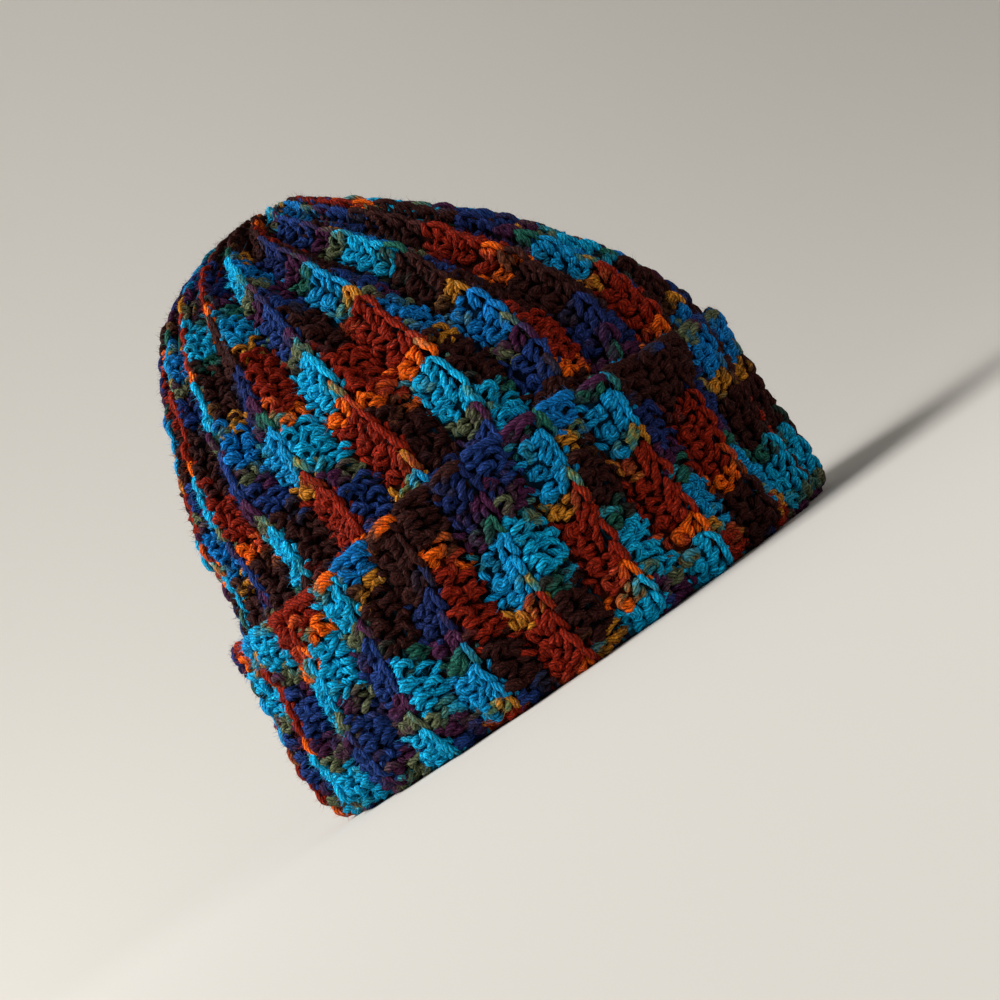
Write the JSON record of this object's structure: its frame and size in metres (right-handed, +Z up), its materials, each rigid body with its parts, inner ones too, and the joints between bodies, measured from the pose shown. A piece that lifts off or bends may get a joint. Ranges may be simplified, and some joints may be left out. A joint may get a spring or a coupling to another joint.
{
  "type": "crochet beanie",
  "caption": "Ribbed crochet beanie with a turned-up cuff and a dome gathered to a drawn ring at the crown, in variegated yarn.",
  "frame": {"origin": "middle of the cuff's outline, on the flat bottom of the folded rim", "axes": "+X towards the forehead, +Y towards the wearer's left, +Z up through the crown"},
  "size_m": [0.2272, 0.1894, 0.207],
  "materials": {
    "yarn": "matt, fuzzy plied acrylic or wool yarn dyed in short lengths of turquoise, olive, plum, navy, rust, orange and brown"
  },
  "bodies": {
    "root": {"body": "yarn", "cuff": "yarn", "gather_yarn": "yarn"}
  },
  "joints": []
}
